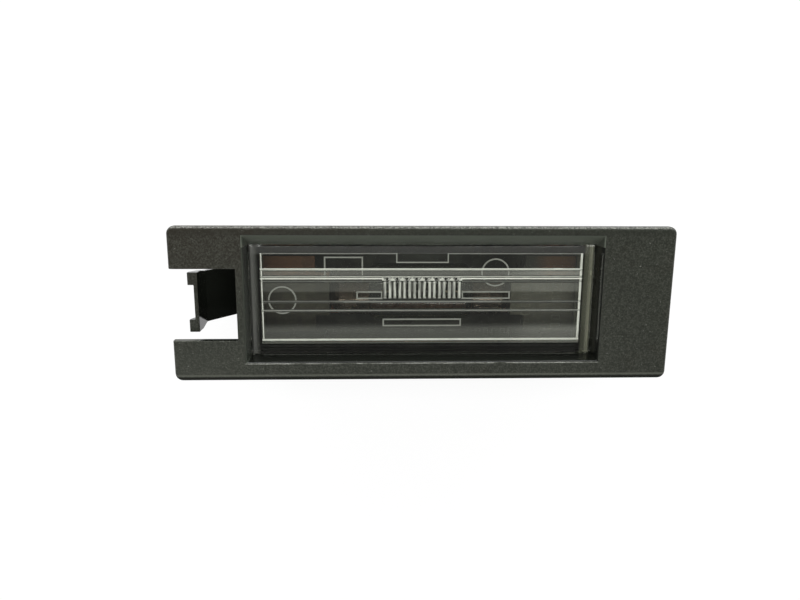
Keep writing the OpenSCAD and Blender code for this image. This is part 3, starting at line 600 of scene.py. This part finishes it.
# Makes a mesh a named piece with its node's finish, standing for that node
def addPiece(name, mesh, node):
    piece = bpy.data.objects.new(name, mesh)
    bpy.context.scene.collection.objects.link(piece)
    mesh.materials.clear()
    mesh.materials.append(finishes[slotOf[node]])
    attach(piece, "root")
    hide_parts(node)
    return piece


softening = {"joinBelow": 0.0004 * mm, "flatBelow": 0.4, "sharpAbove": 32, "rounds": 3}


# A solid's own mesh, merged, with its flat faces made whole and, where a radius is given, its sharp edges
# rounded. The lens has none: its polished planes are shaded flat, so that nothing smears in them.
def softened(name, node, radius):
    s = softening
    mesh = frame["nodes"][node].data.copy()
    mesh.name = name
    form = bmesh.new()
    form.from_mesh(mesh)
    bmesh.ops.remove_doubles(form, verts=form.verts, dist=s["joinBelow"])
    if radius:
        flat = radians(s["flatBelow"])
        bmesh.ops.dissolve_limit(form, angle_limit=flat, verts=form.verts, edges=form.edges)
    form.to_mesh(mesh)
    form.free()
    piece = addPiece(name, mesh, node)
    if not radius:
        mesh.shade_flat()
        return piece
    shade(mesh, s["sharpAbove"])
    bevel = piece.modifiers.new("roundedEdges", "BEVEL")
    bevel.width = radius * mm
    bevel.segments = s["rounds"]
    bevel.limit_method = "ANGLE"
    bevel.angle_limit = radians(s["sharpAbove"])
    bevel.use_clamp_overlap = True
    bevel.harden_normals = True
    return piece


sheetJoin = 0.0005 * mm


# A sheet of points in rows, joined into four-sided faces. Each way can close on itself.
def sheetMesh(name, points, closeRows, closeAcross):
    rows, across = points.shape[:2]
    number = np.arange(rows * across).reshape(rows, across)
    down = np.roll(number, -1, 0) if closeRows else number[1:]
    here = number if closeRows else number[:-1]
    right = np.roll(here, -1, 1), np.roll(down, -1, 1)
    if not closeAcross:
        here, down, right = here[:, :-1], down[:, :-1], (right[0][:, :-1], right[1][:, :-1])
    faces = np.stack([here, down, right[1], right[0]], -1).reshape(-1, 4)
    mesh = bpy.data.meshes.new(name)
    mesh.from_pydata(points.reshape(-1, 3), [], faces.tolist())
    form = bmesh.new()
    form.from_mesh(mesh)
    bmesh.ops.remove_doubles(form, verts=form.verts, dist=sheetJoin)
    bmesh.ops.recalc_face_normals(form, faces=form.faces)
    form.to_mesh(mesh)
    form.free()
    return mesh


# Each moulded or bent node: its piece's name and the radius of its edges in mm
moulded = {
    "housing": ("frameAndHousing", 0.11),
    "bulb_carrier": ("bulbCarrier", 0.12),
    "lens": ("clearLens", 0),
    "contact_left": ("springContactLeft", 0.08),
    "contact_right": ("springContactRight", 0.08),
    "bus_bar_left": ("busBarLeft", 0.08),
    "bus_bar_right": ("busBarRight", 0.08),
}
for node, (name, radius) in moulded.items():
    softened(name, node, radius)
print("moulded and bent pieces made:", len(moulded))

# The bulb, in mm: its glass, its inner end, its caps with their groove, and its solder
bulb = {
    "axisZ": 10.0, "glassR": 5.25, "wall": 0.6, "straight": 7.5, "neckX": 9.4, "neckR": 3.9, "shoulder": 2.3,
    "endX": 12.1, "endRound": 0.3, "innerEndX": 10.9, "innerRound": 0.5, "innerEndR": 1.2,
    "capR": 4.25, "capWall": 0.25, "mouthRound": 0.08, "grooveX": (1.0, 1.1, 1.3, 1.4), "groove": 0.07,
    "capConeX": 14.8, "coneEase": 1.12, "capTipX": 17.6, "capTipR": 1.1, "holeR": 0.3,
    "solderR": 0.88, "solderX": 18.0,
}


# The points of an outline of (along, out) pairs in mm, turned: y = out cos a, z = axis + out sin a
def turnedPoints(outline, steps):
    along, out = np.array(outline, float).T
    angle = np.linspace(0, 2 * pi, steps, endpoint=False)
    across = out[:, None] * np.cos(angle)
    up = bulb["axisZ"] + out[:, None] * np.sin(angle)
    return np.stack([np.repeat(along[:, None], steps, 1), across, up], -1) * mm


# An outline turned about the bulb's axis and made a piece; a closed one ends where it began
def turnedAlongX(name, outline, node, steps=64, closed=True):
    mesh = sheetMesh(name, turnedPoints(outline, steps), closed, True)
    shade(mesh)
    return addPiece(name, mesh, node)


# Half the glass's outline, set in from the surface: straight, then a shoulder down to the neck.
# Out = neck + (glass - neck) sqrt(1 - t to the power of shoulder) - inset
def glassOutline(inset):
    b = bulb
    t = np.linspace(0, 1, 14)
    along = b["straight"] + (b["neckX"] - b["straight"]) * t
    out = b["neckR"] + (b["glassR"] - b["neckR"]) * np.sqrt(np.clip(1 - t ** b["shoulder"], 0, 1))
    return np.stack([along, out - inset], 1)


# The tube: an outer skin, and an inner one turned inside out, so that the wall is closed
def makeGlass():
    b = bulb
    end, inner, neck = b["endX"], b["innerEndX"], b["neckR"]
    tail = [[end - b["endRound"], neck], [end, neck - b["endRound"]], [end, 0.0]]
    innerTail = [[inner - b["innerRound"], neck - b["wall"]], [inner, b["innerEndR"]], [inner, 0.0]]
    form = bmesh.new()
    for inset, ending, flip in ((0, tail, False), (b["wall"], innerTail, True)):
        side = np.concatenate([glassOutline(inset), ending])
        whole = np.concatenate([side[::-1] * [-1, 1], side])
        part = sheetMesh("glassSkin", turnedPoints(whole, 96), False, True)
        if flip:
            part.flip_normals()
        form.from_mesh(part)
        bpy.data.meshes.remove(part)
    mesh = bpy.data.meshes.new("bulbGlass")
    form.to_mesh(mesh)
    form.free()
    shade(mesh, 50)
    return addPiece("bulbGlass", mesh, "bulb_glass")


# The cap's outline: a rolled mouth, the straight sleeve with a groove, a cone and a flat end, with its wall
# inside. The cone's radius falls with the share of its length to the power of coneEase.
def capOutline(side):
    b = bulb
    r, mouth, cone, tip, wall = b["capR"], b["neckX"], b["capConeX"], b["capTipX"], b["capWall"]
    ease = np.linspace(0, 1, 8)
    outer = [[cone + (tip - cone) * s, r - (r - b["capTipR"]) * s ** b["coneEase"]] for s in ease]
    inner = [
        [cone + (tip - wall - cone) * s, r - wall - (r - wall - b["capTipR"]) * s ** b["coneEase"]]
        for s in ease[::-1]
    ]
    depths = (0, b["groove"], b["groove"], 0)
    outline = [
        [mouth + b["mouthRound"], r - wall], [mouth, r - wall / 2], [mouth + b["mouthRound"], r],
        *([mouth + x, r - depth] for x, depth in zip(b["grooveX"], depths)),
        *outer, [tip, b["holeR"]], [tip - wall, b["holeR"]], *inner,
    ]
    return np.array(outline) * [side, 1]


# A drop of solder at the cap's end: x = tip + (top - tip) sin t, out = radius cos t
def solderOutline(side):
    b = bulb
    t = np.linspace(0, pi / 2, 9)
    along = b["capTipX"] + (b["solderX"] - b["capTipX"]) * np.sin(t)
    dome = np.stack([along, b["solderR"] * np.cos(t)], 1)
    return np.concatenate([[[b["capTipX"], 0.0]], dome]) * [side, 1]


makeGlass()
for side, end in ((-1, "left"), (1, "right")):
    turnedAlongX("bulbCap" + end.capitalize(), capOutline(side), "bulb_cap_" + end)
    turnedAlongX("solderDot" + end.capitalize(), solderOutline(side), "bulb_solder_" + end, 32, False)

filament = {"halfLength": 4.5, "coilR": 0.25, "wireR": 0.045, "turns": 58, "perTurn": 14, "sides": 6}


# A round wire along a helix: centre (x, R cos a, R sin a), with each ring set across the helix's direction
def makeFilament():
    f = filament
    steps = f["turns"] * f["perTurn"]
    a = np.linspace(0, 2 * pi * f["turns"], steps)
    reach = f["coilR"] - f["wireR"]
    half = f["halfLength"] - f["wireR"]
    x = np.linspace(-half, half, steps)
    centre = np.stack([x, reach * np.cos(a), reach * np.sin(a)], 1)
    pitch = 2 * half / (2 * pi * f["turns"])
    forward = np.stack([np.full(steps, pitch), -reach * np.sin(a), reach * np.cos(a)], 1)
    forward /= np.linalg.norm(forward, axis=1)[:, None]
    outward = np.stack([np.zeros(steps), np.cos(a), np.sin(a)], 1)
    across = np.cross(forward, outward)
    ring = np.linspace(0, 2 * pi, f["sides"], endpoint=False)
    wide = f["wireR"] * np.ones(steps)
    wide[0] = wide[-1] = 0.0  # the ends close to a point
    turn = np.cos(ring)[None, :, None] * outward[:, None] + np.sin(ring)[None, :, None] * across[:, None]
    points = (centre[:, None] + wide[:, None, None] * turn + [0, 0, bulb["axisZ"]]) * mm
    mesh = sheetMesh("filamentCoil", points, False, True)
    shade(mesh, 60)
    return addPiece("filamentCoil", mesh, "bulb_filament")


makeFilament()

# A lead wire's outline, in mm along and out: thick in the coil's end, thin in the gas, thick through the cap
leadWire = (
    (4.5, 0.0), (4.5, 0.14), (4.62, 0.2), (5.6, 0.2), (5.75, 0.16), (10.7, 0.16), (10.9, 0.2), (17.5, 0.2),
    (17.6, 0.14), (17.6, 0.0),
)
for side, end in ((-1, "left"), (1, "right")):
    turnedAlongX("leadWire" + end.capitalize(), np.array(leadWire) * [side, 1], "lead_wire_" + end, 20, False)
print("bulb made")

rivet = {
    "x": 24.0, "low": 0.1, "lowTop": 0.7, "seat": 2.3, "top": 2.9, "shank": 1.0, "head": 1.8,
    "round": 0.15, "rim": 0.12, "domeEase": 0.6,
}


# A rivet's outline from its lower face to its domed top, turned about its own upright axis. The dome's radius
# is head * (cos s to the power of domeEase), and its height grows with sin s.
def makeRivet(side, end):
    r = rivet
    t = np.linspace(0, pi / 2, 8)
    head, shank, domeLow = r["head"], r["shank"], r["seat"] + r["rim"]
    dome = [[head * np.cos(s) ** r["domeEase"], domeLow + (r["top"] - domeLow) * np.sin(s)] for s in t]
    outline = np.array([
        [0.0, r["low"]], [head - r["round"], r["low"]], [head, r["low"] + r["round"]], [head, r["lowTop"]],
        [shank, r["lowTop"]], [shank, r["seat"]], [head, r["seat"]], *dome[:-1], [0.0, r["top"]],
    ])
    steps = 40
    angle = np.linspace(0, 2 * pi, steps, endpoint=False)
    points = np.stack([
        side * r["x"] + outline[:, :1] * np.cos(angle), outline[:, :1] * np.sin(angle),
        np.repeat(outline[:, 1:], steps, 1),
    ], -1) * mm
    mesh = sheetMesh("rivet" + end, points, False, True)
    shade(mesh)
    return addPiece("rivet" + end.capitalize(), mesh, "contact_rivet_" + end)


# A round-cornered rectangle as one closed line, with the same number of points whatever its corners: each
# corner's middle + corner * (cos a, sin a)
def rectangleLine(length, width, corner):
    line = []
    for k, (sx, sy) in enumerate(((1, 1), (-1, 1), (-1, -1), (1, -1))):
        a = np.linspace(k * pi / 2, (k + 1) * pi / 2, 10)
        x = sx * (length / 2 - corner) + corner * np.cos(a)
        y = sy * (width / 2 - corner) + corner * np.sin(a)
        line.append(np.stack([x, y], 1))
    return np.concatenate(line)


# Each seal, in mm: length, width and corner of its outer and its inner line, and its lower and upper side
seals = {
    "lensSeal": ("lens_seal", (59.9, 19.4, 0.05), (56.7, 16.2, 0.05), 14.5, 15.0),
    "carrierSeal": ("carrier_seal", (63.0, 22.5, 1.2), (60.1, 19.6, 0.05), 1.8, 2.4),
}
ovalEase = 0.35


# A flat ring between an outer and an inner line, with an oval section: share across and height along it are
# 1/2 -/+ 1/2 cos a and sin a, each with its size raised to the power of ovalEase
def makeSeal(name, node, outer, inner, low, high):
    outer, inner = rectangleLine(*outer), rectangleLine(*inner)
    a = np.linspace(0, 2 * pi, 20, endpoint=False)
    share = 0.5 - 0.5 * np.sign(np.cos(a)) * np.abs(np.cos(a)) ** ovalEase
    height = 0.5 + 0.5 * np.sign(np.sin(a)) * np.abs(np.sin(a)) ** ovalEase
    flat = outer[:, None] + (inner - outer)[:, None] * share[None, :, None]
    z = np.broadcast_to(low + (high - low) * height, flat.shape[:2])
    points = np.concatenate([flat, z[..., None]], -1) * mm
    mesh = sheetMesh(name, points, True, True)
    shade(mesh, 50)
    return addPiece(name, mesh, node)


makeRivet(-1, "left")
makeRivet(1, "right")
for name, sizes in seals.items():
    makeSeal(name, *sizes)
print("rivets and seals made")

# The floor's half length and height, the tones of the floor, the sky and the room, and where the room's dark
# patch and its near side begin and end
stageLook = {
    "floorHalf": 3.0,
    "floorZ": -0.02 * mm,
    "pale": 0.82,
    "shadow": 0.16,
    "lift": 0.86,
    "sky": 0.91,
    "ceiling": 0.08,
    "side": 0.26,
    "front": 0.15,
    "tint": (1.0, 1.0, 0.985),
    "toCamera": (0.06, -0.08, 0.985),
    "darkPatch": (0.88, 0.96),
    "toFront": (0.0, -1.0, 0.0),
    "nearSide": (0.65, 0.9),
}


# The floor is pale and shaded to the camera, in metal and through glass, by a dark diffuse part and a glow
# added to it, and plain pale to the rest
def makeFloor():
    look = stageLook
    half, z = look["floorHalf"], look["floorZ"]
    corners = [(-half, -half, z), (half, -half, z), (half, half, z), (-half, half, z)]
    mesh = bpy.data.meshes.new("floor")
    mesh.from_pydata(corners, [], [(0, 1, 2, 3)])
    floor = bpy.data.objects.new("floor", mesh)
    bpy.context.scene.collection.objects.link(floor)
    material = bpy.data.materials.new("paleFloor")
    material.use_nodes = True
    nodes = material.node_tree.nodes
    nodes.clear()
    paint = Paint(material.node_tree)
    seen = [paint.node("LightPath", out=k) for k in (0, 3, 6)]  # camera, glossy and transmission rays
    shown = paint.node("Math", {"operation": "MINIMUM"}, {0: seen[0] + seen[1] + seen[2], 1: 1.0})
    grey = [(look[part],) * 3 + (1.0,) for part in ("pale", "shadow")]
    pale, shadow = [paint.node("BsdfDiffuse", {}, {"Color": tone}) for tone in grey]
    glow = paint.node("Emission", {}, {"Color": (1, 1, 1, 1), "Strength": look["lift"]})
    lit = paint.node("AddShader", {}, {0: shadow, 1: glow})
    both = paint.node("MixShader", {}, {0: shown, 1: pale, 2: lit})
    output = nodes.new("ShaderNodeOutputMaterial")
    paint.tree.links.new(both.socket, output.inputs["Surface"])
    mesh.materials.append(material)


# A grey room whose ceiling is dark where the camera is held, and its near side where its holder stands. The
# camera sees it as pale as the floor's far end; the lens and the bulb still mirror the room as it is. Each
# part's share rises with the cosine between the view's direction and the part's.
def makeRoom():
    look = stageLook
    world = bpy.data.worlds.new("room")
    bpy.context.scene.world = world
    world.use_nodes = True
    paint = Paint(world.node_tree)
    direction = paint.node("TexCoord", out=0)
    shares = []
    for part, band in (("toCamera", "darkPatch"), ("toFront", "nearSide")):
        sockets = {0: direction, 1: Vector(look[part]).normalized()}
        cosine = paint.node("VectorMath", {"operation": "DOT_PRODUCT"}, sockets, out=1)
        shares.append(cosine.rise(*look[band]))
    parts = ("side", "front", "ceiling")
    side, front, ceiling = [tuple(look[part] * tone for tone in look["tint"]) for part in parts]
    room = paint.blend(shares[0], paint.blend(shares[1], side, front), ceiling)
    seen = paint.blend(paint.node("LightPath", out=0), room, (look["sky"],) * 3)
    background = world.node_tree.nodes["Background"]
    paint.tree.links.new(seen.socket, background.inputs["Color"])


lamps = {
    "behind": {"place": (0.02, 0.36, 0.07), "size": (0.9, 0.12), "glow": 12.5, "glints": True},
    "above": {"place": (0.0, 0.10, 0.42), "size": (0.4, 0.20), "glow": 4.3, "glints": False},
    "front": {"place": (-0.02, -0.20, 0.31), "size": (0.5, 0.07), "glow": 3.2, "glints": True},
}
lampAim = (0.0, 0.0, 0.015)


# A soft lamp that faces the object. Its power is glow times pi times its area. One without glints lights matt
# surfaces only.
def makeLamp(name, place, size, glow, glints):
    data = bpy.data.lights.new(name, "AREA")
    data.shape = "RECTANGLE"
    data.size, data.size_y = size
    data.energy = glow * pi * size[0] * size[1]
    lamp = bpy.data.objects.new(name, data)
    lamp.location = place
    lamp.rotation_euler = (Vector(lampAim) - Vector(place)).to_track_quat("-Z", "Y").to_euler()
    lamp.visible_glossy = lamp.visible_transmission = glints
    bpy.context.scene.collection.objects.link(lamp)


camera = {
    "place": (-7.946, 23.370, 130.862),
    "turn": (-0.205500, -0.034909, -0.001971),
    "focalPixels": 654,
    "pixelsWide": 800,
}


# The camera stands where the photo was taken: turned about X, then Y, then Z
def makeCamera():
    data = bpy.data.cameras.new("camera")
    data.lens = camera["focalPixels"] / camera["pixelsWide"] * data.sensor_width
    data.clip_start = 0.001
    data.dof.use_dof = False
    eye = bpy.data.objects.new("camera", data)
    about = [Matrix.Rotation(angle, 4, axis) for angle, axis in zip(camera["turn"], "XYZ")]
    eye.matrix_world = Matrix.Translation(Vector(camera["place"]) * mm) @ about[0] @ about[1] @ about[2]
    bpy.context.scene.collection.objects.link(eye)
    bpy.context.scene.camera = eye


makeFloor()
makeRoom()
for name, lamp in lamps.items():
    makeLamp(name, **lamp)
makeCamera()
bpy.context.scene.view_settings.view_transform = "Standard"
print("stage, lamps and camera made")
